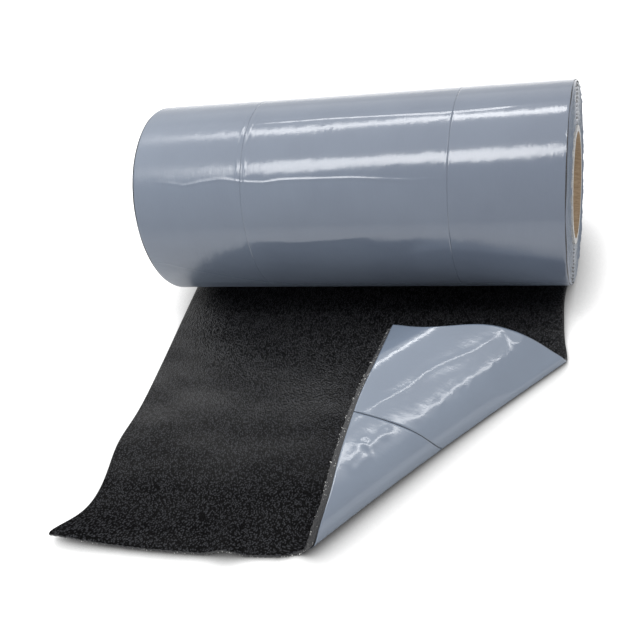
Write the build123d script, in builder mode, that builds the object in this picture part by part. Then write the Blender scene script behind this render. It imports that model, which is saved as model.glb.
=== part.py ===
"""A roll of flexible roof flashing on its cardboard core, with its free end laid out and a corner folded over.

The strip is wound with its release film outside. X runs along the roll's axis, -Y towards the free end, Z up.
The origin is on the floor under the roll's axis, in the middle of the strip's width. Millimetres.
"""
from build123d import *
import os

# The strip, and the release film that is bedded in its sticky face between bare edges
strip_width = 300
strip_thickness = 2.5
film_thickness = 0.1
film_sunk = 0.02
bare_edge = 1
left_slit_offset = 67
right_slit_offset = 76
slit_width = 0.4

# The core tube
core_bore_diameter = 70
core_wall = 4
core_proud = 1.5

# The winding, and how far every other turn lies in at the roll's ends
turns = 11
nip_gap = 0.05
turn_set_back = 0.6
turn_margin = 0.1

# The free end, which is drawn in a little beside the roll and stretched at its left corner
tail_length = 265
left_flare = 20.7
right_waist = 6.2
front_edge_bow = 4.4
left_edge_course = [(0.2, 0), (0.5, 0), (0.62, 0.1), (0.7, 0.25), (0.79, 0.16), (0.86, 0.1), (0.94, 0.32)]
right_edge_course = [(0.385, 1), (0.635, 0.79), (0.873, 0.35)]

# The folded corner
crease_reach = 96
crease_front_x = -12
tip_inset = 112.7
tip_reach = 101.7
tip_height = 36
fold_stations = 30
fold_end_share = 0.975
station_crowding = 1.35
right_edge_lag = 1.1
front_edge_lag = 1.16
slit_overrun = 3

# The folded edges from the crease to the tip: share of the way, how far aside of the straight way, height
folded_right_course = [
    (0.027, 4.0, 6.3),
    (0.061, 3.6, 9.4),
    (0.149, 2.3, 18.0),
    (0.271, 1.3, 27.8),
    (0.438, 1.5, 35.7),
    (0.638, 6.6, 40.8),
    (0.811, 8.7, 41.9),
]
folded_front_course = [
    (0.055, 14.6, 1.9),
    (0.075, 20.9, 7.7),
    (0.123, 23.6, 16.4),
    (0.231, 22.9, 25.0),
    (0.365, 18.6, 32.5),
    (0.496, 15.1, 37.9),
    (0.633, 11.4, 41.2),
    (0.81, 8.2, 42.5),
]

half_width = strip_width / 2
middle_height = strip_thickness / 2
film_bed = film_sunk + film_thickness
core_radius = core_bore_diameter / 2 + core_wall
coil_radius = core_radius + turns * strip_thickness
axis_height = coil_radius + strip_thickness

crease_right = Vector(half_width, -crease_reach, middle_height)
crease_front = Vector(crease_front_x, -tail_length, middle_height)
crease_line = (crease_front - crease_right).normalized()
tip = Vector(half_width - tip_inset, -tip_reach, tip_height)

os.makedirs("parts", exist_ok=True)


def half_turn_back(turn):
    """Centre height and radius of the far half of a turn's outer face, counted inwards from the outermost."""
    centre = axis_height - strip_thickness / 4
    return centre, centre - turn * strip_thickness


def half_turn_front(turn):
    """The near half has its centre half a thickness higher, so that the two halves make a spiral."""
    centre = axis_height + strip_thickness / 4
    return centre, centre - (turn + 1) * strip_thickness


def half_ring(centre, outer_radius, side):
    """Half a turn seen along the roll's axis: side 1 is the far half, -1 the near half."""
    with BuildSketch(mode=Mode.PRIVATE) as ring:
        with Locations((0, centre)):
            Circle(outer_radius - turn_margin)
            Circle(outer_radius - strip_thickness + turn_margin, mode=Mode.SUBTRACT)
        with Locations((side * axis_height, centre)):
            Rectangle(2 * axis_height, 3 * axis_height, mode=Mode.INTERSECT)
    return ring.sketch_local


def wound_outline(depth):
    """The roll seen along its axis, at a depth below its outer face, down to the floor and to the nip."""
    back_centre, back_radius = half_turn_back(0)
    front_centre, front_radius = half_turn_front(0)
    top = (0, back_centre + back_radius - depth)
    nip = (0, front_centre - front_radius + nip_gap + depth)
    near_side = ((nip[1] - top[1]) / 2, (nip[1] + top[1]) / 2)
    with BuildSketch(mode=Mode.PRIVATE) as outline:
        with BuildLine():
            ThreePointArc((0, depth), (back_radius - depth, back_centre), top)
            ThreePointArc(top, near_side, nip)
            Line(nip, (0, depth))
        make_face()
    return outline.sketch_local


def free_end_plan(margin):
    """The flat of the free end up to the crease, from above, drawn in by a margin at its three free edges."""
    left = margin - half_width
    corner = (left - left_flare, margin - tail_length)
    bow = ((corner[0] + crease_front.X) / 2, margin - tail_length - front_edge_bow)
    crease_start = crease_right + crease_line * margin
    crease_end = crease_front - crease_line * margin
    left_edge = [(left - out * left_flare, -share * tail_length) for share, out in left_edge_course]
    right_edge = [(-left - drawn * right_waist, -share * crease_reach) for share, drawn in right_edge_course]
    with BuildSketch(mode=Mode.PRIVATE) as plan:
        with BuildLine():
            Line((left, 0), (half_width - margin, 0))
            Spline((half_width - margin, 0), *right_edge, (crease_start.X, crease_start.Y))
            Line((crease_start.X, crease_start.Y), (crease_end.X, crease_end.Y))
            ThreePointArc((crease_end.X, crease_end.Y), bow, corner)
            Spline(corner, *reversed(left_edge), (left, 0))
        make_face()
    return plan.sketch_local


def edge_point(start, course):
    """A point of a folded edge, from its share of the way to the tip, its offset aside and its height."""
    share, aside, height = course
    way = Vector(tip.X - start.X, tip.Y - start.Y, 0)
    outwards = Vector(way.Y, -way.X, 0).normalized()
    if outwards.Y > 0:
        outwards = -outwards
    point = Vector(start.X, start.Y, 0) + way * share + outwards * aside
    return Vector(point.X, point.Y, height)


def folded_edge(start, courses, start_direction):
    """The middle of a folded edge as one smooth curve from the crease to the tip."""
    points = [edge_point(start, course) for course in courses]
    end_direction = (tip - points[-1]).normalized()
    with BuildLine(mode=Mode.PRIVATE) as edge:
        Spline(start, *points, tip, tangents=[start_direction, end_direction], tangent_scalars=[1, 1])
    return edge.edge()


folded_right_edge = folded_edge(crease_right, folded_right_course, Vector(0, -1, 0))
folded_front_edge = folded_edge(crease_front, folded_front_course, Vector(1, 0, 0))

# The lines that stay straight as the corner bends, as shares of the front edge from the crease to the tip
front_width = half_width - crease_front_x
slit_share = ((right_slit_offset + slit_overrun - crease_front_x) / front_width) ** (1 / front_edge_lag)
stations = [i / (fold_stations - 1) for i in range(fold_stations)]
station_shares = [fold_end_share * station**station_crowding for station in stations]
slit_shares = [share for share in station_shares if share < slit_share] + [slit_share]


def fold_section(share, depth, thickness, slit_only=False):
    """An upright cut through the folded corner along a straight line, or through its slit there."""
    right_point = folded_right_edge @ share**right_edge_lag
    front_point = folded_front_edge @ share
    length = (front_point - right_point).length
    across = (front_point - right_point) / length
    along = (folded_right_edge % share**right_edge_lag + folded_front_edge % share).normalized()
    film_side = along.cross(across).normalized()
    middle, width = length / 2, length
    if slit_only:
        flat_length = front_width * (1 - share**front_edge_lag)
        middle, width = length * (half_width - right_slit_offset) / flat_length, slit_width
    with BuildSketch(Plane(right_point, x_dir=across, z_dir=across.cross(film_side))) as section:
        with Locations((middle, middle_height - depth - thickness / 2)):
            Rectangle(width, thickness)
    return section.sketch


# The coil is turned with its bore, and its outermost turn runs on into the free end
with BuildPart() as flashing_strip:
    turned_depth = coil_radius - 1.5 * strip_thickness - core_radius
    with BuildSketch(Plane.XZ):
        with Locations((0, axis_height + core_radius + turned_depth / 2)):
            Rectangle(strip_width, turned_depth)
    revolve(axis=Axis((0, 0, axis_height), (1, 0, 0)))
    for start, width, depth in (
        (-half_width, bare_edge, 0),
        (bare_edge - half_width, strip_width - 2 * bare_edge, film_bed),
        (half_width - bare_edge, bare_edge, 0),
    ):
        with BuildSketch(Plane.YZ.offset(start)):
            add(wound_outline(depth))
            with Locations((0, axis_height)):
                Circle(coil_radius - 2 * strip_thickness, mode=Mode.SUBTRACT)
        extrude(amount=width)

    # The turns show on both ends, because every other one lies further in
    for end, inwards in ((half_width, -1), (-half_width, 1)):
        with BuildSketch(Plane.YZ.offset(end)):
            for turn in range(1, turns, 2):
                add(half_ring(*half_turn_back(turn), 1))
                add(half_ring(*half_turn_front(turn), -1))
        extrude(amount=inwards * turn_set_back, mode=Mode.SUBTRACT)

    # The flat of the free end rests on its bare edges
    with BuildSketch(Plane.XY.offset(film_bed)):
        add(free_end_plan(0))
    extrude(amount=strip_thickness - film_bed)
    with BuildSketch(Plane.XY):
        add(free_end_plan(0))
        add(free_end_plan(bare_edge), mode=Mode.SUBTRACT)
    extrude(amount=film_bed)

    # The folded corner
    loft([fold_section(share, film_bed, strip_thickness - film_bed) for share in station_shares], ruled=True)


# The release film on the folded corner, slit through along the middle width's edge
with BuildPart() as folded_film:
    loft([fold_section(share, film_sunk, film_thickness) for share in station_shares], ruled=True)
with BuildPart() as slit_cut:
    blade = 2 * strip_thickness
    loft([fold_section(share, -strip_thickness, blade, True) for share in slit_shares], ruled=True)
folded_widths = (folded_film.part - slit_cut.part).solids().sort_by(Axis.Z)


def release_film(left_limit, right_limit, flare=0, folded_width=None):
    """One width of the release film: round the roll, under the free end and over the folded corner."""
    with BuildPart() as film:
        with BuildSketch(Plane.YZ.offset(left_limit)):
            add(wound_outline(film_sunk))
            add(wound_outline(film_bed), mode=Mode.SUBTRACT)
        extrude(amount=right_limit - left_limit)
        with BuildSketch(Plane.XY.offset(film_sunk)):
            add(free_end_plan(bare_edge))
            with Locations(((left_limit - flare + right_limit) / 2, -tail_length / 2)):
                Rectangle(right_limit - left_limit + flare, 2 * tail_length, mode=Mode.INTERSECT)
        extrude(amount=film_thickness)
        if folded_width:
            add(folded_width)
    return film.part


with BuildPart() as core_tube:
    with BuildSketch(Plane.YZ.offset(-half_width - core_proud)):
        with Locations((0, axis_height)):
            Circle(core_radius)
            Circle(core_bore_diameter / 2, mode=Mode.SUBTRACT)
    extrude(amount=strip_width + 2 * core_proud)

flashing_strip.part.label = "flashing_strip"
export_step(flashing_strip.part, "parts/flashing_strip.step")
core_tube.part.label = "core_tube"
export_step(core_tube.part, "parts/core_tube.step")

left_slit = (-left_slit_offset - slit_width / 2, -left_slit_offset + slit_width / 2)
right_slit = (right_slit_offset - slit_width / 2, right_slit_offset + slit_width / 2)
film_left = release_film(bare_edge - half_width, left_slit[0], flare=left_flare)
film_left.label = "release_film_left"
export_step(film_left, "parts/release_film_left.step")
film_middle = release_film(left_slit[1], right_slit[0], folded_width=folded_widths[0])
film_middle.label = "release_film_middle"
export_step(film_middle, "parts/release_film_middle.step")
film_right = release_film(right_slit[1], half_width - bare_edge, folded_width=folded_widths[1])
film_right.label = "release_film_right"
export_step(film_right, "parts/release_film_right.step")
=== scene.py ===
"""The looks of the roll of roof flashing: its sheet, release film, cut edges, core, floor and light.

Everything is in metres. A point of the strip has a place across it, x, and a row along it. Rows from
-1 to 0 are the free end, from its front edge to the roll, and rows above 0 are the winding angle,
inwards from the outside. The length along the strip is counted from where it leaves the roll, and is
negative on the free end. On the outermost turn it runs up the back, over the top and down the front.
"""
import math

import bpy
import numpy as np
from mathutils import Matrix, Vector


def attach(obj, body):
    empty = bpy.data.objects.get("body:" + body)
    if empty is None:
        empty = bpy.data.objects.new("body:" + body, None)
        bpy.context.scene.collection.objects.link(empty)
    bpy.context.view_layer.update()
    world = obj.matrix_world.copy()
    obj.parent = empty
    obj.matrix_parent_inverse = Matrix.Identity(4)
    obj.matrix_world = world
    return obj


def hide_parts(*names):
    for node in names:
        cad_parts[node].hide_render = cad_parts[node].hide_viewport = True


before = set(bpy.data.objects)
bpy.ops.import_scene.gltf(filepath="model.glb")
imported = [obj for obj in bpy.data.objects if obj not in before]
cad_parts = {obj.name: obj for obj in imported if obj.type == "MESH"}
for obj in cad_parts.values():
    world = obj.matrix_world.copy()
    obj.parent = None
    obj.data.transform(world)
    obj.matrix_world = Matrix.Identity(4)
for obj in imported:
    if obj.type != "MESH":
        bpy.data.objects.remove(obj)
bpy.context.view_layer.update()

MM = 0.001

# The strip, as in the solids
half_width = 150 * MM
thickness = 2.5 * MM
core_bore_radius = 35 * MM
core_radius = 39 * MM
core_half_length = 151.5 * MM
turns = 11
axis_height = core_radius + (turns + 1) * thickness
left_slit = -67 * MM
right_slit = 76 * MM

# The free end, as in the solids; the courses give shares of its length and of the flare or the waist
tail_length = 265 * MM
left_flare = 20.7 * MM
right_waist = 6.2 * MM
front_edge_bow = 4.4 * MM
left_edge_course = [(0.2, 0), (0.5, 0), (0.62, 0.1), (0.7, 0.25), (0.79, 0.16), (0.86, 0.1), (0.94, 0.32)]
right_edge_course = [(0.385, 1), (0.635, 0.79), (0.873, 0.35)]

# The folded corner, as in the solids; the courses give the share of the way to the tip, and how far the
# edge lies aside of that way and how high, in millimetres
crease_reach = 96 * MM
crease_front_x = -12 * MM
tip_inset = 112.7 * MM
tip_reach = 101.7 * MM
tip_height = 36 * MM
right_edge_lag = 1.1
front_edge_lag = 1.16
folded_right_course = [
    (0.027, 4.0, 6.3),
    (0.061, 3.6, 9.4),
    (0.149, 2.3, 18.0),
    (0.271, 1.3, 27.8),
    (0.438, 1.5, 35.7),
    (0.638, 6.6, 40.8),
    (0.811, 8.7, 41.9),
]
folded_front_course = [
    (0.055, 14.6, 1.9),
    (0.075, 20.9, 7.7),
    (0.123, 23.6, 16.4),
    (0.231, 22.9, 25.0),
    (0.365, 18.6, 32.5),
    (0.496, 15.1, 37.9),
    (0.633, 11.4, 41.2),
    (0.81, 8.2, 42.5),
]

# The film lies on the strip's sticky side, and ends a little short of the folded front edge
film_depth = 0.14 * MM
strip_depth = 0.2 * MM
film_inset = 0.1 * MM
bare_front = 3.4 * MM
bare_front_run = 25 * MM
slit_gap = 0.06 * MM
slit_opening = 0.3 * MM
slit_opening_rows = 0.05

# How the flat free end leaves the floor: a lifted front edge, its left corner and a small arch
edge_lift = 2 * MM
edge_lift_depth = 22 * MM
edge_lift_start = -20 * MM
edge_lift_run = 60 * MM
corner_lift = 3 * MM
corner_lift_reach = 34 * MM
arch_lift = 5 * MM
arch_x = -44 * MM
arch_half_width = 9 * MM
arch_depth = 24 * MM

# The scalloped cut of the front edge
scallop_depth = 0.4 * MM
scallop_size = 1.05 * MM
scallop_wander = 5 * MM
scallop_seed = 6
scallop_rows = 0.0055

# Creases in the film, as places across the strip and lengths along it in millimetres
upper_crease = [
    (-78, 223),
    (-54, 222.4),
    (-8, 221.5),
    (68, 222.6),
    (94, 222.1),
    (119, 220.7),
    (134, 219.4),
]
lower_crease = [
    (-139, 263.5),
    (-116, 266.4),
    (-110, 268),
    (-96, 265.8),
    (-81, 264.4),
    (-66, 267),
    (-50, 268.2),
    (-37, 266.8),
    (12, 267.4),
    (52, 270.1),
    (72, 269.7),
    (82, 270.5),
]
faint_crease = [(-68, 306), (-28, 309), (1, 307.5), (16, 305), (46, 302.7)]
fold_crease = [(76, -238), (86, -227), (99, -209), (109, -201), (117, -191), (131, -168), (148, -149)]
broken_crease = [
    (74, -216),
    (82, -206),
    (90, -196),
    (97, -188),
    (105, -182),
    (119, -165),
    (137, -145),
    (143, -139),
]
corner_crease = [(115, -236), (121, -230), (133, -215.5), (147, -200.5)]
low_swirl = [(44, -249), (51, -243), (59, -237), (62, -231), (67, -226), (74, -217)]
low_curl = [(42, -244), (47, -240), (51, -237), (56, -232), (61, -235), (58, -241)]
edge_curl = [(149, -152), (146, -146), (143, -143), (145, -137), (149, -133)]

# Each crease with its height and half width in millimetres
film_creases = [
    (upper_crease, 0.16, 1.0),
    (lower_crease, 0.2, 1.0),
    (faint_crease, 0.10, 2.4),
    (fold_crease, 0.22, 1.8),
    (broken_crease, 0.12, 2.4),
    (corner_crease, 0.05, 1.1),
    (low_swirl, 0.35, 2.4),
    (low_curl, 0.3, 2.0),
    (edge_curl, 0.2, 1.6),
]

# Waves in the film, as height and size in millimetres and a seed
roll_waves = [(0.05, 34, 1), (0.014, 9, 2)]
loose_waves = [(0.035, 26, 3), (0.012, 9, 4)]
broken_waves = [(0.05, 5.5, 9)]
loose_lift = 0.25 * MM
loose_fade = 8 * MM
broken_half_width = 4 * MM

# Raised film on both sides of each slit: its distance from the slit, its share of the wander, its height,
# its extra height on the roll's upper side, and its half width, the lengths in millimetres
slit_edges = [(left_slit, 2.8, 1, 0.03, 0.15, 0.8), (right_slit, 1.1, 0.6, 0.015, 0.05, 0.6)]
slit_wander = 0.5 * MM
slit_wander_size = 11 * MM
slit_seed = 5
upper_side_start = 205 * MM
upper_side_start_run = 12 * MM
upper_side_end = 290 * MM
upper_side_end_run = 14 * MM

# The ends of the roll: the film's rounded rim, its edges that stand out, and the strip that is set back.
# Waves are given as height and size in millimetres, and a seed
end_zone_start = 144 * MM
end_zone_run = 5 * MM
end_rows = 0.4
rim_start = 147.6 * MM
rim_run = 3.4 * MM
rim_drop = 1.1 * MM
outermost_overhang = 0.6 * MM
mean_overhang = 0.9 * MM
most_overhang = 1.5 * MM
overhang_fine_wave = (0.35, 9)
overhang_slow_wave = (0.25, 60)
left_overhang_seed = 11
right_overhang_seed = 21
mean_set_back = 0.3 * MM
most_set_back = 1.6 * MM
set_back_wave = (0.3, 40, 31)
strip_rim_bulge = 0.15 * MM
end_columns = [144 * MM, 145.5 * MM, 147 * MM, 148.5 * MM, half_width]

# Ends of the mesh inside the strip, with ranges in millimetres, the lean as a share of the length
strand_count = 330
strand_sides = 6
strand_seed = 8
strand_share_flat = 0.35
strand_share_folded = 0.95
strand_share_on_bare = 0.5
strand_radii = (0.1, 0.28)
strand_heights = (-0.3, 0.95)
strand_height_on_bare = 1.02
strand_insets_on_bare = (0.2, 2.6)
strand_lengths = (0.5, 1.3)
strand_leans = (-0.9, 0.9)

# Steps of the meshes, across the strip and along it
cut_edge_step = 0.55 * MM
strip_step = 2 * MM
strip_row_step = 2.2 * MM
strip_turn_step = 3 * MM
film_step = 1.1 * MM
hidden_film_step = 6 * MM
shown_before_crease = 4 * MM
plain_row_step = 0.02
inner_turn_step = math.radians(2)
core_steps = 160

# Colours
# The film's colour as a shaded and a lit copy: painted shade on the roll, and painted light on the free
# end and low on the roll's front
film_shaded_color = (0.116, 0.141, 0.19)
film_lit_color = (0.172, 0.21, 0.27)
# The black face's pebble tops, and the painted shade in the valleys between them
black_high = (0.042, 0.043, 0.048)
black_valley_painted_shade = (0.0005, 0.0005, 0.0007)
butyl_dark = (0.014, 0.015, 0.017)
butyl_light = (0.045, 0.045, 0.047)
cardboard_dark = (0.27, 0.19, 0.12)
cardboard_light = (0.36, 0.27, 0.18)
rim_dark = (0.42, 0.42, 0.42)
rim_light = (0.62, 0.62, 0.61)
strand_dark = (0.35, 0.35, 0.34)
strand_light = (0.7, 0.7, 0.68)

# Sizes of the patterns in the materials, across the strip and along it, and the depths of their relief
film_cloud = (40 * MM, 60 * MM)
film_ripple = (2.2 * MM, 8 * MM)
film_ripple_depth = 0.09 * MM
film_dent = (9 * MM, 14 * MM)
film_dent_depth = 0.14 * MM
black_cloud = (50 * MM, 22 * MM)
black_pebble = (1.15 * MM, 1.35 * MM)
black_pebble_depth = 0.5 * MM
black_fine = (0.6 * MM, 0.6 * MM)
black_fine_depth = 0.12 * MM
butyl_grain = (0.7 * MM, 0.7 * MM)
butyl_grain_depth = 0.25 * MM
paper_fibre_scale = (300, 900, 900)
paper_fibre_depth = 0.1 * MM

# Zones of the materials, as lengths along the strip or places across it
film_bend = (-20 * MM, 20 * MM)
# From here on, low on the roll's front, the film takes its lit colour: painted light
film_painted_light_low = (340 * MM, 410 * MM)
film_dull_low = (310 * MM, 370 * MM)
film_dull_left = (-140 * MM, -50 * MM)
black_shinier = (-220 * MM, -140 * MM)

# Floor, with a soft contact shadow painted on it from ambient occlusion
floor_half_size = 6.0
floor_drop = 0.3 * MM
floor_color = (0.8, 0.8, 0.8, 1)
floor_white = 0.5
floor_glow = 0.92
painted_shadow_reach = 40 * MM
painted_shadow_power = 1.5
painted_shadow_lean = (0.3, 0.95)

# Camera: its angles in degrees, and its focal length and middle of view in the picture's pixels
camera_azimuth = 26.85
camera_elevation = 48.69
camera_roll = -18.39
camera_target = Vector((0.0175, -0.1552, 0))
camera_distance = 0.6074
picture_size = 640
focal_length = 897.2
view_middle_x = 360
view_middle_y = 420
sensor_width = 36

# Lamps: for each row its name, the ends of its lights, their width, their radiances and where they face
roll_middle = (0, 0, 0.1)
back_places = [
    (-0.78, 0.355, 1),
    (-0.64, 0.40, 1),
    (-0.50, 0.445, 1),
    (-0.19, 0.5475, 1),
    (0.12, 0.65, 1),
]
front_places = [
    (-0.78, -0.42, 1),
    (-0.62, -0.39, 1),
    (-0.50, -0.365, 1),
    (-0.22, -0.309, 1),
    (0.06, -0.253, 1),
]
light_rows = [
    ("back_light", back_places, 0.12, [2.5, 5, 7, 9], roll_middle),
    ("front_light", front_places, 0.2, [1.25, 2.8, 7, 7.6], roll_middle),
    ("far_light", [(0.06, -0.253, 1), (1.25, -0.15, 1)], 0.09, [7.2], roll_middle),
    ("side_light", [(0.25, 0.03, 1), (0.8, 0.07, 1)], 0.05, [10], roll_middle),
    ("near_ceiling", [(-1.7, 0.35, 1.1), (1.3, 0.35, 1.1)], 1.5, [0.7], (-0.2, 0.35, 0)),
    ("far_ceiling", [(-1.7, 2.6, 1.1), (1.3, 2.6, 1.1)], 3, [0.33], (-0.2, 2.6, 0)),
]
fill_start = (-1.6, -2, 0.8)
fill_end = (1.4, -2, 0.8)
fill_width = 1.5
fill_radiance = 0.9
world_light = 0.4


def smooth_curve(points, start_direction, end_direction):
    """A smooth curve through the points, as dense samples and their shares of its length."""
    points = np.array(points, float)
    gaps = np.linalg.norm(np.diff(points, axis=0), axis=1)
    last = len(points) - 1
    matrix = np.eye(last + 1)
    slopes = np.zeros_like(points)
    slopes[0] = start_direction
    slopes[last] = end_direction
    for i in range(1, last):
        before, after = gaps[i - 1], gaps[i]
        matrix[i, i - 1 : i + 2] = after, 2 * (before + after), before
        rise_before = (points[i] - points[i - 1]) / before
        rise_after = (points[i + 1] - points[i]) / after
        slopes[i] = 3 * (after * rise_before + before * rise_after)
    slopes = np.linalg.solve(matrix, slopes)
    samples = []
    for i in range(last):
        t = np.linspace(0, 1, 120, endpoint=i == last - 1)[:, None]
        samples.append(
            points[i] * (2 * t**3 - 3 * t**2 + 1)
            + slopes[i] * gaps[i] * (t**3 - 2 * t**2 + t)
            + points[i + 1] * (3 * t**2 - 2 * t**3)
            + slopes[i + 1] * gaps[i] * (t**3 - t**2)
        )
    samples = np.concatenate(samples)
    lengths = np.concatenate([[0], np.cumsum(np.linalg.norm(np.diff(samples, axis=0), axis=1))])
    return lengths / lengths[-1], samples, lengths[-1]


def along(curve, share):
    """The points of a curve at these shares of its length."""
    shares, samples, _ = curve
    return np.stack([np.interp(share, shares, samples[:, i]) for i in range(samples.shape[1])], axis=-1)


def folded_edge(start, courses, start_direction):
    """The middle of a folded edge from the crease to the tip."""
    way = tip[:2] - start[:2]
    outwards = np.array([way[1], -way[0]]) / np.linalg.norm(way)
    if outwards[1] > 0:
        outwards = -outwards
    points = [start]
    for share, aside, height in courses:
        place = start[:2] + way * share + outwards * aside * MM
        points.append(np.array([place[0], place[1], height * MM]))
    points.append(tip)
    end_direction = (points[-1] - points[-2]) / np.linalg.norm(points[-1] - points[-2])
    return smooth_curve(points, start_direction, end_direction)


def flared_left_edge():
    """The free end's left edge, from the roll to the stretched corner."""
    points = [(-half_width, 0)]
    for share, out in left_edge_course:
        points.append((-half_width - out * left_flare, -share * tail_length))
    points.append(tuple(left_corner))
    end_direction = (left_corner - points[-2]) / np.linalg.norm(left_corner - points[-2])
    return smooth_curve(points, (0, -1), end_direction)[1]


def drawn_in_right_edge():
    """The free end's right edge, from the roll to the crease."""
    points = [(half_width, 0)]
    for share, drawn in right_edge_course:
        points.append((half_width - drawn * right_waist, -share * crease_reach))
    points.append((half_width, -crease_reach))
    return smooth_curve(points, (-0.3, -0.95), (0.1, -0.99))[1]


crease_right = np.array([half_width, -crease_reach, thickness / 2])
crease_front = np.array([crease_front_x, -tail_length, thickness / 2])
tip = np.array([half_width - tip_inset, -tip_reach, tip_height])
folded_right_edge = folded_edge(crease_right, folded_right_course, (0, -1, 0))
folded_front_edge = folded_edge(crease_front, folded_front_course, (1, 0, 0))
flat_corner = np.array([half_width, -crease_reach - folded_right_edge[2]])
left_corner = np.array([-half_width - left_flare, -tail_length])
left_edge = flared_left_edge()
right_edge = drawn_in_right_edge()


def smooth_step(share):
    """0 below 0, 1 above 1, and a smooth rise between."""
    share = np.clip(share, 0, 1)
    return share * share * (3 - 2 * share)


def bump(distance, width):
    """A smooth hump, 1 at distance 0."""
    return np.exp(-((distance / width) ** 2))


def waves(p, q, size, seed):
    """Soft random unevenness between about -1 and 1, with waves of this size."""
    random = np.random.default_rng(seed)
    total = 0
    for _ in range(12):
        turn = random.uniform(0, math.tau)
        count = math.tau / (size * random.uniform(0.6, 1.7))
        phase = random.uniform(0, math.tau)
        total = total + np.sin(count * (p * math.cos(turn) + q * math.sin(turn)) + phase)
    return total / 4


def layered(p, q, layers):
    """Layers of waves, each given as height and size in millimetres and a seed."""
    return sum(height * MM * waves(p, q, size * MM, seed) for height, size, seed in layers)


def laid_out(x, row):
    """Where a point of the free end would lie if the corner weren't folded."""
    bow_middle = (left_corner[0] + crease_front_x) / 2
    bow_half = (crease_front_x - left_corner[0]) / 2
    bow = front_edge_bow * np.clip(1 - ((x - bow_middle) / bow_half) ** 2, 0, 1)
    slant_share = np.clip((x - crease_front_x) / (half_width - crease_front_x), 0, 1.2)
    slant = (tail_length + flat_corner[1]) * slant_share
    bare = bare_front * smooth_step((x - crease_front_x) / bare_front_run)
    scallop = np.abs(np.sin(x / scallop_size)) + 0.4 * waves(x, 0 * x, scallop_wander, scallop_seed)
    bare = bare + scallop_depth * scallop * smooth_step((-row - 1 + scallop_rows) / scallop_rows)
    y = row * (tail_length + bow + bare - slant)
    flare = -half_width - np.interp(-y, -left_edge[:, 1], left_edge[:, 0])
    waist = half_width - np.interp(-y, -right_edge[:, 1], right_edge[:, 0])
    left = np.clip(-x / half_width, 0, 2)
    right = np.clip(x / half_width, 0, 2)
    return x - flare * left**2 - waist * right**2, y


def folded(x, y):
    """A laid-out point beyond the crease, carried over along the folded corner's straight lines."""
    point = np.stack([x, y], axis=-1)
    right_way = flat_corner - crease_right[:2]
    front_way = flat_corner - crease_front[:2]
    low = np.zeros(len(x))
    high = np.ones(len(x))
    for _ in range(32):
        share = (low + high) / 2
        right_flat = crease_right[:2] + right_way * (share**right_edge_lag)[:, None]
        front_flat = crease_front[:2] + front_way * (share**front_edge_lag)[:, None]
        line = front_flat - right_flat
        offset = point - right_flat
        beyond = line[:, 0] * offset[:, 1] - line[:, 1] * offset[:, 0] > 0
        low = np.where(beyond, share, low)
        high = np.where(beyond, high, share)
    part = (offset * line).sum(axis=1) / np.maximum((line * line).sum(axis=1), 1e-9)
    start = along(folded_right_edge, share**right_edge_lag)
    return start + (along(folded_front_edge, share) - start) * part[:, None]


def beyond_crease(x, y):
    """How far a laid-out point lies beyond the crease, on the side that is folded over."""
    line = crease_front[:2] - crease_right[:2]
    return (line[0] * (y - crease_right[1]) - line[1] * (x - crease_right[0])) / np.linalg.norm(line)


def lift(x, y):
    """How high the free end stands off the floor."""
    from_front = y + tail_length
    from_corner = np.hypot(x - left_corner[0], y - left_corner[1])
    corner = corner_lift * bump(from_corner, corner_lift_reach)
    arch = arch_lift * bump(x - arch_x, arch_half_width) * bump(from_front, arch_depth)
    leftwards = np.clip((edge_lift_start - x) / edge_lift_run, 0, 1)
    edge = edge_lift * bump(from_front, edge_lift_depth) * leftwards
    return corner + arch + edge


def middle_of_sheet(x, row):
    """The middle of the strip's thickness, for places across and rows along it."""
    points = np.zeros((len(x), 3))
    wound = row > 0
    radius = axis_height - thickness / 2 - thickness * row[wound] / math.tau
    points[wound, 0] = x[wound]
    points[wound, 1] = radius * np.sin(row[wound])
    points[wound, 2] = axis_height - radius * np.cos(row[wound])
    free_x, free_y = laid_out(x[~wound], row[~wound])
    free = np.stack([free_x, free_y, thickness / 2 + lift(free_x, free_y)], axis=-1)
    over = beyond_crease(free_x, free_y) > 0
    if over.any():
        free[over] = folded(free_x[over], free_y[over])
    points[~wound] = free
    return points


def film_side(x, row):
    """The direction out of the strip's film side."""
    step_x = 0.4 * MM
    step_row = np.where(row > 0, 0.004, -0.0015)
    across = middle_of_sheet(x + step_x, row) - middle_of_sheet(x - step_x, row)
    lengthwise = middle_of_sheet(x, row + step_row) - middle_of_sheet(x, row)
    out = -np.cross(across, lengthwise * np.sign(step_row)[:, None])
    return out / np.linalg.norm(out, axis=1)[:, None]


def length_along(row):
    """The length along the strip from where it leaves the roll."""
    wound = axis_height * row - thickness * row**2 / (2 * math.tau)
    return np.where(row > 0, wound, row * tail_length)


def crease(across, length, line, height, width):
    """A raised crease in the film along a line of places, fading out at its ends."""
    points = np.array(line) * MM
    ways = np.diff(points, axis=0)
    sizes = np.linalg.norm(ways, axis=1)
    passed = np.concatenate([[0], np.cumsum(sizes)[:-1]])
    places = np.stack([across, length], axis=-1)
    nearest = np.full(len(across), 1.0)
    share = np.zeros(len(across))
    for start, way, size, before in zip(points[:-1], ways, sizes, passed):
        part = np.clip((places - start) @ way / size**2, 0, 1)
        gap = np.linalg.norm(places - start - part[:, None] * way, axis=1)
        share = np.where(gap < nearest, (before + part * size) / sizes.sum(), share)
        nearest = np.minimum(gap, nearest)
    return height * bump(nearest, width) * smooth_step(6 * np.minimum(share, 1 - share))


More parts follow.
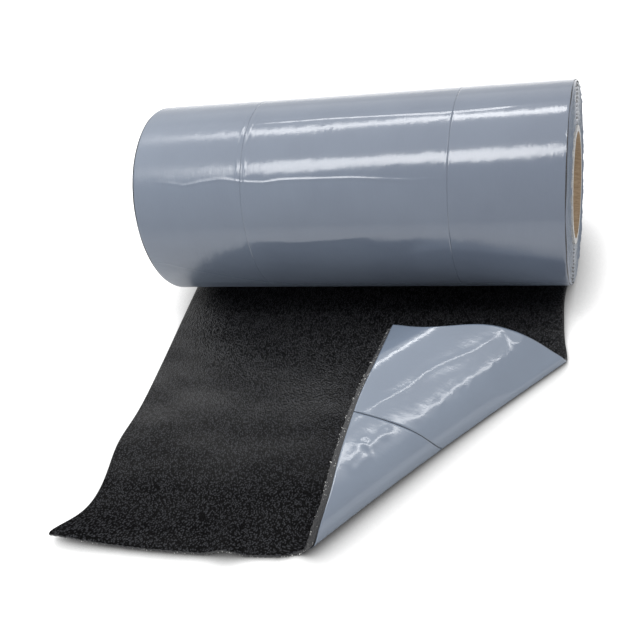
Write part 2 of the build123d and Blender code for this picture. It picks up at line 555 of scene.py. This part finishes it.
def slit_puckers(across, length):
    """The raised edges of the two slits on the roll, strongest on its upper side."""
    strong = smooth_step((length - upper_side_start) / upper_side_start_run)
    strong = strong * smooth_step((upper_side_end - length) / upper_side_end_run)
    raised = np.zeros(len(across))
    for side in (-1, 1):
        wander = slit_wander * waves(length, 0 * length, slit_wander_size, slit_seed + side)
        for slit, gap, share, height, extra, width in slit_edges:
            place = slit + side * gap * MM + share * wander
            raised += (height + extra * strong) * MM * bump(across - place, width * MM)
    return raised


def film_height(xs, rows):
    """How far the film's creases and waves stand off the sheet."""
    free_x, free_y = laid_out(xs, np.minimum(rows, 0))
    wound = rows > 0
    across = np.where(wound, xs, free_x)
    length = np.where(wound, length_along(rows), free_y)
    raised = np.zeros(len(xs))
    for line, height, width in film_creases:
        raised += crease(across, length, line, height * MM, width * MM)
    loose = layered(across, length, loose_waves) + loose_lift
    raised += np.where(wound, layered(across, length, roll_waves), loose)
    broken = crease(across, length, broken_crease, 1, broken_half_width)
    broken += crease(across, length, low_swirl, 1, broken_half_width)
    raised += broken * layered(across, length, broken_waves)
    raised += np.where(wound, slit_puckers(across, length), 0)
    rim = smooth_step((np.abs(xs) - rim_start) / rim_run)
    raised -= np.where(wound, rim_drop * rim**2, 0)
    raised *= np.where(wound, 1, smooth_step(beyond_crease(free_x, free_y) / loose_fade))
    return np.where(rows > math.tau, 0, raised)


def film_overhang(rows, seed):
    """How far the film's edge stands out past the strip's nominal end, turn by turn."""
    length = length_along(rows)
    layers = [(*overhang_fine_wave, seed), (*overhang_slow_wave, seed + 1)]
    reach = mean_overhang + layered(length, 0 * length, layers)
    reach = np.where(rows < math.tau, outermost_overhang, np.clip(reach, 0, most_overhang))
    return np.where(rows > 0, reach * smooth_step(rows / end_rows), 0)


def strip_set_back(rows):
    """How far the strip's own edge lies inside its nominal end on the roll, as a negative length."""
    length = length_along(rows)
    reach = layered(length, 0 * length, [set_back_wave]) - mean_set_back
    return np.where(rows > 0, np.clip(reach, -most_set_back, 0) * smooth_step(rows / end_rows), 0)


def with_ends(sheet, reach):
    """The sheet with its outer columns moved out or in along the roll's axis."""
    xs, rows, faces = sheet
    near_end = smooth_step((np.abs(xs) - end_zone_start) / end_zone_run)
    return xs + np.sign(xs) * reach * near_end, rows, faces


def steps(start, end, size):
    """Even steps from start to end, none longer than size."""
    return np.linspace(start, end, max(2, math.ceil(abs(end - start) / size) + 1))


def graded(start, end, fine_places, reach, fine, coarse):
    """Steps from start to end that are fine within reach of some places."""
    places = [start]
    while places[-1] < end - fine:
        near = min(abs(places[-1] + fine - place) for place in fine_places) < reach
        places.append(min(places[-1] + (fine if near else coarse), end))
    places[-1] = end
    return np.array(places)


# Rows: the cut front edge, the free end, the outermost turn, and the turns inside
front_rows = np.array([-1, -0.9985, -0.997, -0.9955])
front_rows_end = -0.995
strip_front_rows = steps(-0.994, -0.3, strip_row_step / tail_length)
strip_rows = np.concatenate([strip_front_rows, steps(-0.3, 0, plain_row_step)[1:]])
film_front_rows = steps(-1 + bare_front / tail_length, -0.35, film_step / tail_length)
film_rows = np.concatenate([film_front_rows, steps(-0.35, 0, plain_row_step)[1:]])
crease_lengths = [222 * MM, 267 * MM]
film_outer_lengths = graded(0, 430 * MM, crease_lengths, reach=7 * MM, fine=0.5 * MM, coarse=1.7 * MM)
film_outer_rows = film_outer_lengths[1:] / axis_height
film_outer_rows = film_outer_rows[film_outer_rows < math.tau]
inner_rows = np.arange(math.tau, turns * math.tau, inner_turn_step)


def net(row_places, row_columns):
    """Points and faces of a sheet whose rows may have different numbers of columns."""
    xs = np.concatenate(row_columns)
    rows = np.repeat(row_places, [len(columns) for columns in row_columns])
    starts = np.concatenate([[0], np.cumsum([len(columns) for columns in row_columns])])
    faces = []
    for i in range(len(row_places) - 1):
        a, b = starts[i], starts[i + 1]
        first, second = row_columns[i], row_columns[i + 1]
        if len(first) == len(second):
            faces += [(a + j, a + j + 1, b + j + 1, b + j) for j in range(len(first) - 1)]
            continue
        j = k = 0
        while j < len(first) - 1 or k < len(second) - 1:
            go_first = k == len(second) - 1 or (j < len(first) - 1 and first[j + 1] <= second[k + 1])
            if go_first:
                faces.append((a + j, a + j + 1, b + k))
                j += 1
            else:
                faces.append((a + j, b + k + 1, b + k))
                k += 1
    return xs, rows, faces


def border(faces):
    """The directed border edges of a sheet of faces."""
    edges = set()
    for face in faces:
        for i, start in enumerate(face):
            edges.add((start, face[(i + 1) % len(face)]))
    return sorted(edge for edge in edges if (edge[1], edge[0]) not in edges)


def new_piece(name, points, faces, materials):
    """A mesh object in the scene."""
    mesh = bpy.data.meshes.new(name)
    mesh.from_pydata(points, [], faces)
    for material in materials:
        mesh.materials.append(material)
    piece = bpy.data.objects.new(name, mesh)
    bpy.context.scene.collection.objects.link(piece)
    return piece


def out_of_border(edges, rim_at, middle, out):
    """The direction out of the sheet at each point of its border."""
    push = np.zeros((len(rim_at), 3))
    for a, b in edges:
        across = np.cross(middle[b] - middle[a], out[a])
        across = -across / max(np.linalg.norm(across), 1e-9)
        push[rim_at[a]] += across
        push[rim_at[b]] += across
    return push / np.maximum(np.linalg.norm(push, axis=1), 1e-9)[:, None]


def shell_faces(faces, edges, rim_at, count):
    """The faces of a shell's two sides and its rim, with the number of their material: 0, 1 and 2."""
    all_faces = [tuple(reversed(face)) for face in faces]
    all_faces += [tuple(point + count for point in face) for face in faces]
    for a, b in edges:
        rim_a = 2 * count + rim_at[a]
        rim_b = 2 * count + rim_at[b]
        all_faces += [(a, b, rim_b, rim_a), (rim_a, rim_b, b + count, a + count)]
    return all_faces, [0] * len(faces) + [1] * len(faces) + [2, 2] * len(edges)


def shell(name, sheet, outer, inner, materials, bulge=0.0, height=None):
    """A closed sheet between two depths below the strip's film side, above the floor, with its rim."""
    xs, rows, faces = sheet
    middle = middle_of_sheet(xs, rows)
    out = film_side(xs, rows)
    raised = 0 if height is None else height(xs, rows)[:, None]
    top = middle + out * (thickness / 2 - outer + raised)
    bottom = middle + out * (thickness / 2 - inner + raised)
    top[:, 2] = np.maximum(top[:, 2], outer)
    bottom[:, 2] = np.maximum(bottom[:, 2], min(inner, film_depth))
    edges = border(faces)
    rim = sorted({point for edge in edges for point in edge})
    rim_at = {point: i for i, point in enumerate(rim)}
    rim_points = (top[rim] + bottom[rim]) / 2 + out_of_border(edges, rim_at, middle, out) * bulge
    all_faces, slots = shell_faces(faces, edges, rim_at, len(xs))
    piece = new_piece(name, np.concatenate([top, bottom, rim_points]).tolist(), all_faces, materials)
    mesh = piece.data
    flat = np.stack([xs, length_along(rows)], axis=-1)
    flat = np.concatenate([flat, flat, flat[rim]])
    layer = mesh.uv_layers.new(name="flat")
    loops = np.zeros(len(mesh.loops), int)
    mesh.loops.foreach_get("vertex_index", loops)
    layer.data.foreach_set("uv", flat[loops].astype(np.float32).ravel())
    mesh.polygons.foreach_set("material_index", [min(slot, len(materials) - 1) for slot in slots])
    mesh.polygons.foreach_set("use_smooth", [True] * len(all_faces))
    mesh.update()
    return piece


def computed(tree, operation, first, second):
    """The result of a calculation with an output and either another output or a number."""
    node = tree.nodes.new("ShaderNodeMath")
    node.operation = operation
    tree.links.new(first, node.inputs[0])
    if isinstance(second, float):
        node.inputs[1].default_value = second
    else:
        tree.links.new(second, node.inputs[1])
    return node.outputs["Value"]


class Nodes:
    """A material's shader with short helpers for its procedural inputs."""

    def __init__(self, name, roughness, specular):
        self.material = bpy.data.materials.new(name)
        self.material.use_nodes = True
        self.tree = self.material.node_tree
        self.shader = self.tree.nodes["Principled BSDF"]
        self.shader.inputs["Roughness"].default_value = roughness
        self.shader.inputs["Specular IOR Level"].default_value = specular
        self.place = self.tree.nodes.new("ShaderNodeUVMap")
        self.place.uv_map = "flat"

    def link(self, output, target):
        """Joins an output to an input."""
        self.tree.links.new(output, target)

    def stretched(self, across, length):
        """The place on the sheet, with its two directions scaled to waves of these sizes."""
        mapping = self.tree.nodes.new("ShaderNodeMapping")
        mapping.inputs["Scale"].default_value = (1 / across, 1 / length, 1)
        self.link(self.place.outputs["UV"], mapping.inputs["Vector"])
        return mapping.outputs["Vector"]

    def place_by_direction(self):
        """The place across the strip and the length along it, each by itself."""
        split = self.tree.nodes.new("ShaderNodeSeparateXYZ")
        self.link(self.place.outputs["UV"], split.inputs["Vector"])
        return split.outputs["X"], split.outputs["Y"]

    def noise(self, vector, detail=2.0, roughness=0.5):
        """Cloudy noise between 0 and 1."""
        node = self.tree.nodes.new("ShaderNodeTexNoise")
        node.inputs["Scale"].default_value = 1
        node.inputs["Detail"].default_value = detail
        node.inputs["Roughness"].default_value = roughness
        self.link(vector, node.inputs["Vector"])
        return node.outputs["Fac"]

    def cells(self, vector, feature):
        """The distance from the middle of the nearest of many random cells."""
        node = self.tree.nodes.new("ShaderNodeTexVoronoi")
        node.feature = feature
        node.inputs["Scale"].default_value = 1
        self.link(vector, node.inputs["Vector"])
        return node.outputs["Distance"]

    def spread(self, value, low, high, to_low, to_high):
        """The value, with the range from low to high mapped to another range."""
        node = self.tree.nodes.new("ShaderNodeMapRange")
        names = ("From Min", "From Max", "To Min", "To Max")
        for name, amount in zip(names, (low, high, to_low, to_high)):
            node.inputs[name].default_value = amount
        self.link(value, node.inputs["Value"])
        return node.outputs["Result"]

    def times(self, first, second):
        """The product of two outputs."""
        return computed(self.tree, "MULTIPLY", first, second)

    def plus(self, first, second):
        """The sum of two outputs."""
        return computed(self.tree, "ADD", first, second)

    def colors(self, value, first, second):
        """The shader's colour, from the first at 0 to the second at 1."""
        node = self.tree.nodes.new("ShaderNodeMix")
        node.data_type = "RGBA"
        node.inputs["A"].default_value = (*first, 1)
        node.inputs["B"].default_value = (*second, 1)
        self.link(value, node.inputs["Factor"])
        self.link(node.outputs["Result"], self.shader.inputs["Base Color"])

    def bump(self, value, depth, below=None, strength=None):
        """Fine relief of this depth, on top of the relief below."""
        node = self.tree.nodes.new("ShaderNodeBump")
        node.inputs["Distance"].default_value = depth
        self.link(value, node.inputs["Height"])
        if below:
            self.link(below, node.inputs["Normal"])
        if strength:
            self.link(strength, node.inputs["Strength"])
        self.link(node.outputs["Normal"], self.shader.inputs["Normal"])
        return node.outputs["Normal"]


def film_material():
    """Glossy blue-grey film with fine ripples and a random cloudy tone. Its colour mixes a lit and a
    shaded copy: painted light on the free end and low on the roll's front, and painted shade on the rest
    of the roll, strongest towards its right end. It is duller low on the roll's front and left.
    """
    nodes = Nodes("film_skin", 0.13, 0.75)
    cloud = nodes.noise(nodes.stretched(*film_cloud), 3)
    across, length = nodes.place_by_direction()
    wound = nodes.spread(length, *film_bend, 0, 0.85)
    # Painted shade on the roll, growing towards its right end and giving way to painted light low on its
    # front and on the free end
    painted_shade_zone = nodes.times(wound, nodes.spread(length, *film_painted_light_low, 1, 0))
    painted_shade_towards_right = nodes.times(nodes.spread(across, -half_width, half_width, 0.4, 1), painted_shade_zone)
    tone_and_painted_shade = nodes.plus(nodes.spread(cloud, 0.3, 0.7, 0, 0.25), painted_shade_towards_right)
    nodes.colors(tone_and_painted_shade, film_lit_color, film_shaded_color)
    ripples = nodes.noise(nodes.stretched(*film_ripple), 2, 0.6)
    calmer_when_flat = nodes.spread(length, *film_bend, 0.5, 1)
    below = nodes.bump(ripples, film_ripple_depth, None, calmer_when_flat)
    dents = nodes.noise(nodes.stretched(*film_dent), 1)
    nodes.bump(dents, film_dent_depth, below, calmer_when_flat)
    duller_left = nodes.spread(across, *film_dull_left, 0.1, 0)
    duller_low = nodes.spread(length, *film_dull_low, 0.13, 0.3)
    nodes.link(nodes.plus(duller_left, duller_low), nodes.shader.inputs["Roughness"])
    return nodes.material


def black_material():
    """The near-black face with a fine leather-like grain, painted shade in the valleys between its
    pebbles, shinier towards the roll.
    """
    nodes = Nodes("black_face", 0.5, 0.25)
    cloud = nodes.noise(nodes.stretched(*black_cloud), 1)
    pebbles = nodes.cells(nodes.stretched(*black_pebble), "F1")
    # Lighter pebble tops, with painted shade in the valleys between them
    nodes.colors(nodes.spread(pebbles, 0.15, 0.55, 0, 1), black_high, black_valley_painted_shade)
    below = nodes.bump(pebbles, -black_pebble_depth)
    fine = nodes.noise(nodes.stretched(*black_fine), 2)
    nodes.bump(fine, black_fine_depth, below)
    _, length = nodes.place_by_direction()
    shinier = nodes.spread(length, *black_shinier, 0.03, 0.22)
    patchy = nodes.spread(cloud, 0.35, 0.65, 0.7, 1.35)
    nodes.link(nodes.times(shinier, patchy), nodes.shader.inputs["Specular IOR Level"])
    nodes.link(nodes.spread(cloud, 0.3, 0.7, 0.36, 0.3), nodes.shader.inputs["Roughness"])
    return nodes.material


def butyl_material():
    """The dark grey sticky mass that shows at the cut edges."""
    nodes = Nodes("butyl", 0.5, 0.4)
    grain = nodes.noise(nodes.stretched(*butyl_grain), 3)
    nodes.colors(nodes.spread(grain, 0.4, 0.65, 0, 1), butyl_dark, butyl_light)
    nodes.bump(grain, butyl_grain_depth)
    return nodes.material


def paper_material(name, dark, light):
    """Paper with a faint fibre."""
    nodes = Nodes(name, 0.85, 0.3)
    place = nodes.tree.nodes.new("ShaderNodeTexCoord").outputs["Object"]
    mapping = nodes.tree.nodes.new("ShaderNodeMapping")
    mapping.inputs["Scale"].default_value = paper_fibre_scale
    nodes.link(place, mapping.inputs["Vector"])
    fibre = nodes.noise(mapping.outputs["Vector"], 3)
    nodes.colors(nodes.spread(fibre, 0.35, 0.65, 0, 1), dark, light)
    nodes.bump(fibre, paper_fibre_depth)
    return nodes.material


film_skin = film_material()
black_face = black_material()
butyl = butyl_material()
cardboard = paper_material("cardboard", cardboard_dark, cardboard_light)
paper_rim = paper_material("paper_rim", rim_dark, rim_light)
strand = paper_material("strand", strand_dark, strand_light)


def strip():
    """The whole strip: cut front edge, free end, folded corner and all turns."""
    cut_edge = steps(-half_width, half_width, cut_edge_step)
    free = steps(-half_width, half_width, strip_step)
    left_columns = [-place for place in reversed(end_columns)]
    wound = np.concatenate([left_columns, [left_slit, right_slit], end_columns])
    outer = steps(0, math.tau, strip_turn_step / axis_height)[1:-1]
    places = np.concatenate([front_rows, strip_rows, outer, inner_rows])
    columns = [cut_edge if place < front_rows_end else free if place <= 0 else wound for place in places]
    sheet = net(places, columns)
    sheet = with_ends(sheet, strip_set_back(sheet[1]))
    materials = [butyl, black_face, butyl]
    return shell("flashing_strip_wound", sheet, strip_depth, thickness, materials, strip_rim_bulge)


def film_width(name, left, right, shown_from, overhang_seed):
    """One width of the film, seen right of shown_from on the free end. A seed lets its end stand out."""
    shown_from = min(max(left, shown_from), right)
    hidden = steps(left, shown_from, hidden_film_step)[:-1] if shown_from > left else []
    shown = steps(shown_from, right, film_step) if shown_from < right else [right]
    free = np.concatenate([hidden, shown])
    outer = graded(left, right, [left, right], reach=6.5 * MM, fine=0.55 * MM, coarse=2.6 * MM)
    inner = graded(left, right, [-half_width, half_width], reach=6 * MM, fine=1.5 * MM, coarse=40 * MM)
    turns_inside = inner_rows if overhang_seed else inner_rows[::2]
    places = np.concatenate([film_rows, film_outer_rows, turns_inside])
    columns = [free if place <= 0 else outer if place < math.tau else inner for place in places]
    xs, rows, faces = net(places, columns)
    opened = slit_opening / 2 * smooth_step(-rows / slit_opening_rows)
    xs = xs + np.where(xs == left, opened, 0) - np.where(xs == right, opened, 0)
    sheet = xs, rows, faces
    if overhang_seed:
        sheet = with_ends(sheet, film_overhang(rows, overhang_seed))
    return shell(name, sheet, 0.0, film_depth, [film_skin], 0.0, film_height)


def core():
    """The core tube with its two paper rims and pale outside."""
    rings = [(core_bore_radius, -1), (core_bore_radius, 1), (core_radius, 1), (core_radius, -1)]
    count = core_steps
    points = []
    for radius, side in rings:
        for i in range(count):
            turn = math.tau * i / count
            y = radius * math.sin(turn)
            z = axis_height + radius * math.cos(turn)
            points.append((side * core_half_length, y, z))
    faces = []
    slots = []
    for ring in range(4):
        after = (ring + 1) % 4
        for i in range(count):
            j = (i + 1) % count
            faces.append((ring * count + i, ring * count + j, after * count + j, after * count + i))
            slots.append(min(ring, 1))
    piece = new_piece("core_tube_paper", points, faces, [cardboard, paper_rim])
    piece.data.polygons.foreach_set("material_index", slots)
    piece.data.polygons.foreach_set("use_smooth", [slot == 0 for slot in slots])
    return piece


def add_rod(points, faces, start, end, radius, across, out):
    """Adds a closed rod with a few sides to a list of points and faces."""
    first = len(points)
    after = first + strand_sides
    for centre in (start, end):
        for k in range(strand_sides):
            turn = math.tau * k / strand_sides
            points.append(centre + radius * (math.cos(turn) * across + math.sin(turn) * out))
    for k in range(strand_sides):
        following = (k + 1) % strand_sides
        faces.append((first + k, first + following, after + following, after + k))
    faces.append(tuple(first + k for k in reversed(range(strand_sides))))
    faces.append(tuple(after + k for k in range(strand_sides)))


def strand_ends():
    """Short ends of the mesh inside the strip, on its cut front edge and on the bare strip beside it."""
    random = np.random.default_rng(strand_seed)
    xs = random.uniform(-half_width + 2 * MM, half_width - 2 * MM, strand_count)
    share = np.where(xs > crease_front_x, strand_share_folded, strand_share_flat)
    xs = xs[random.random(len(xs)) < share]
    on_bare = (random.random(len(xs)) < strand_share_on_bare) & (xs > crease_front_x + 12 * MM)
    inset = random.uniform(*strand_insets_on_bare, len(xs)) * MM / tail_length
    rows = np.where(on_bare, -1 + inset, -1)
    edge = middle_of_sheet(xs, rows)
    outwards = edge - middle_of_sheet(xs, rows + 0.004)
    outwards /= np.linalg.norm(outwards, axis=1)[:, None]
    out = film_side(xs, rows)
    across = np.cross(out, outwards)
    points = []
    faces = []
    for i in range(len(xs)):
        radius = random.uniform(*strand_radii) * MM
        height = strand_height_on_bare if on_bare[i] else random.uniform(*strand_heights)
        start = edge[i] + out[i] * height * MM - outwards[i] * 0.5 * MM
        lean = across[i] * random.uniform(*strand_leans)
        way = outwards[i] * (0.4 if on_bare[i] else 1) + lean
        end = start + way * random.uniform(*strand_lengths) * MM
        add_rod(points, faces, start, end, radius, across[i], out[i])
    return new_piece("mesh_strand_ends", [tuple(point) for point in points], faces, [strand])


left_limits = (-half_width + film_inset, left_slit - slit_gap / 2)
middle_limits = (left_slit + slit_gap / 2, right_slit - slit_gap / 2)
right_limits = (right_slit + slit_gap / 2, half_width - film_inset)
wound_strip = strip()
film_left = film_width("film_left", *left_limits, half_width, left_overhang_seed)
film_middle = film_width("film_middle", *middle_limits, crease_front_x - shown_before_crease, None)
film_right = film_width("film_right", *right_limits, right_slit, right_overhang_seed)
pieces = [
    (wound_strip, "flashing_strip", "flashing"),
    (film_left, "release_film_left", "release_film"),
    (film_middle, "release_film_middle", "release_film"),
    (film_right, "release_film_right", "release_film"),
    (core(), "core_tube", "core_cardboard"),
]
for piece, node, slot in pieces:
    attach(piece, "root")
    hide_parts(node)
strands = strand_ends()
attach(strands, "root")


def shows_background(tree):
    """1 for the rays that show the background: from the camera, from gloss and through glass."""
    path = tree.nodes.new("ShaderNodeLightPath").outputs
    rays = path["Is Camera Ray"]
    for name in ("Is Glossy Ray", "Is Transmission Ray"):
        rays = computed(tree, "MAXIMUM", rays, path[name])
    return rays


def floor_material():
    """A pale matte floor, which shows white with a painted soft contact shadow where it is seen."""
    material = bpy.data.materials.new("floor")
    material.use_nodes = True
    tree = material.node_tree
    tree.nodes.clear()
    matte = tree.nodes.new("ShaderNodeBsdfDiffuse")
    matte.inputs["Color"].default_value = floor_color
    # Painted contact shadow: ambient occlusion, leaning back, darkens the seen floor's white and glow
    contact = tree.nodes.new("ShaderNodeAmbientOcclusion")
    contact.inputs["Distance"].default_value = painted_shadow_reach
    contact.samples = 12
    leaning = tree.nodes.new("ShaderNodeCombineXYZ")
    leaning.inputs["Y"].default_value, leaning.inputs["Z"].default_value = painted_shadow_lean
    tree.links.new(leaning.outputs["Vector"], contact.inputs["Normal"])
    open_share = computed(tree, "POWER", contact.outputs["AO"], painted_shadow_power)
    white = tree.nodes.new("ShaderNodeBsdfDiffuse")
    tree.links.new(computed(tree, "MULTIPLY", open_share, floor_white), white.inputs["Color"])
    glow = tree.nodes.new("ShaderNodeEmission")
    tree.links.new(computed(tree, "MULTIPLY", open_share, floor_glow), glow.inputs["Strength"])
    both = tree.nodes.new("ShaderNodeAddShader")
    tree.links.new(white.outputs["BSDF"], both.inputs[0])
    tree.links.new(glow.outputs["Emission"], both.inputs[1])
    choice = tree.nodes.new("ShaderNodeMixShader")
    tree.links.new(shows_background(tree), choice.inputs["Fac"])
    tree.links.new(matte.outputs["BSDF"], choice.inputs[1])
    tree.links.new(both.outputs["Shader"], choice.inputs[2])
    output = tree.nodes.new("ShaderNodeOutputMaterial")
    tree.links.new(choice.outputs["Shader"], output.inputs["Surface"])
    return material


def make_floor():
    """A large square just under the object."""
    far = floor_half_size
    corners = [(-far, -far, 0), (far, -far, 0), (far, far, 0), (-far, far, 0)]
    square = new_piece("floor", corners, [(0, 1, 2, 3)], [floor_material()])
    square.location.z = -floor_drop
    return square


floor = make_floor()


def place_camera():
    """The camera at the photograph's viewing angle."""
    data = bpy.data.cameras.new("camera")
    camera = bpy.data.objects.new("camera", data)
    bpy.context.scene.collection.objects.link(camera)
    bpy.context.scene.camera = camera
    azimuth = math.radians(camera_azimuth)
    elevation = math.radians(camera_elevation)
    roll = math.radians(camera_roll)
    flat_part = math.cos(elevation)
    backwards = Vector(
        (math.sin(azimuth) * flat_part, -math.cos(azimuth) * flat_part, math.sin(elevation))
    )
    level = (-backwards).cross(Vector((0, 0, 1))).normalized()
    upright = level.cross(-backwards)
    right = level * math.cos(roll) + upright * math.sin(roll)
    up = upright * math.cos(roll) - level * math.sin(roll)
    rotation = Matrix((right, up, backwards)).transposed().to_4x4()
    camera.matrix_world = Matrix.Translation(camera_target + backwards * camera_distance) @ rotation
    data.sensor_fit = "HORIZONTAL"
    data.sensor_width = sensor_width
    data.lens = focal_length * sensor_width / picture_size
    data.shift_x = (picture_size / 2 - view_middle_x) / picture_size
    data.shift_y = (view_middle_y - picture_size / 2) / picture_size
    data.clip_start = 0.01


place_camera()


def strip_light(name, start, end, width, radiance, aim):
    """A long soft light between two points, facing a third."""
    start, end, aim = Vector(start), Vector(end), Vector(aim)
    data = bpy.data.lights.new(name, "AREA")
    data.shape = "RECTANGLE"
    data.size = (end - start).length
    data.size_y = width
    data.energy = radiance * math.pi * data.size * width
    light = bpy.data.objects.new(name, data)
    bpy.context.scene.collection.objects.link(light)
    x_axis = (end - start).normalized()
    z_axis = ((start + end) / 2 - aim).normalized()
    z_axis = (z_axis - x_axis * z_axis.dot(x_axis)).normalized()
    y_axis = z_axis.cross(x_axis)
    turned = Matrix((x_axis, y_axis, z_axis)).transposed().to_4x4()
    light.matrix_world = Matrix.Translation((start + end) / 2) @ turned
    return light


for name, places, width, radiances, aim in light_rows:
    for i, radiance in enumerate(radiances):
        strip_light(f"{name}_{i}", places[i], places[i + 1], width, radiance, aim)
front_fill = strip_light("front_fill", fill_start, fill_end, fill_width, fill_radiance, roll_middle)
front_fill.visible_glossy = False


def make_world():
    """Plain soft light from all sides, which shows as a white background."""
    world = bpy.data.worlds.new("world")
    bpy.context.scene.world = world
    world.use_nodes = True
    tree = world.node_tree
    tree.nodes.clear()
    mix = tree.nodes.new("ShaderNodeMixShader")
    tree.links.new(shows_background(tree), mix.inputs["Fac"])
    for socket, strength in ((1, world_light), (2, 1)):
        background = tree.nodes.new("ShaderNodeBackground")
        background.inputs["Color"].default_value = (1, 1, 1, 1)
        background.inputs["Strength"].default_value = strength
        tree.links.new(background.outputs["Background"], mix.inputs[socket])
    output = tree.nodes.new("ShaderNodeOutputWorld")
    tree.links.new(mix.outputs["Shader"], output.inputs["Surface"])


make_world()
bpy.context.scene.view_settings.view_transform = "Standard"
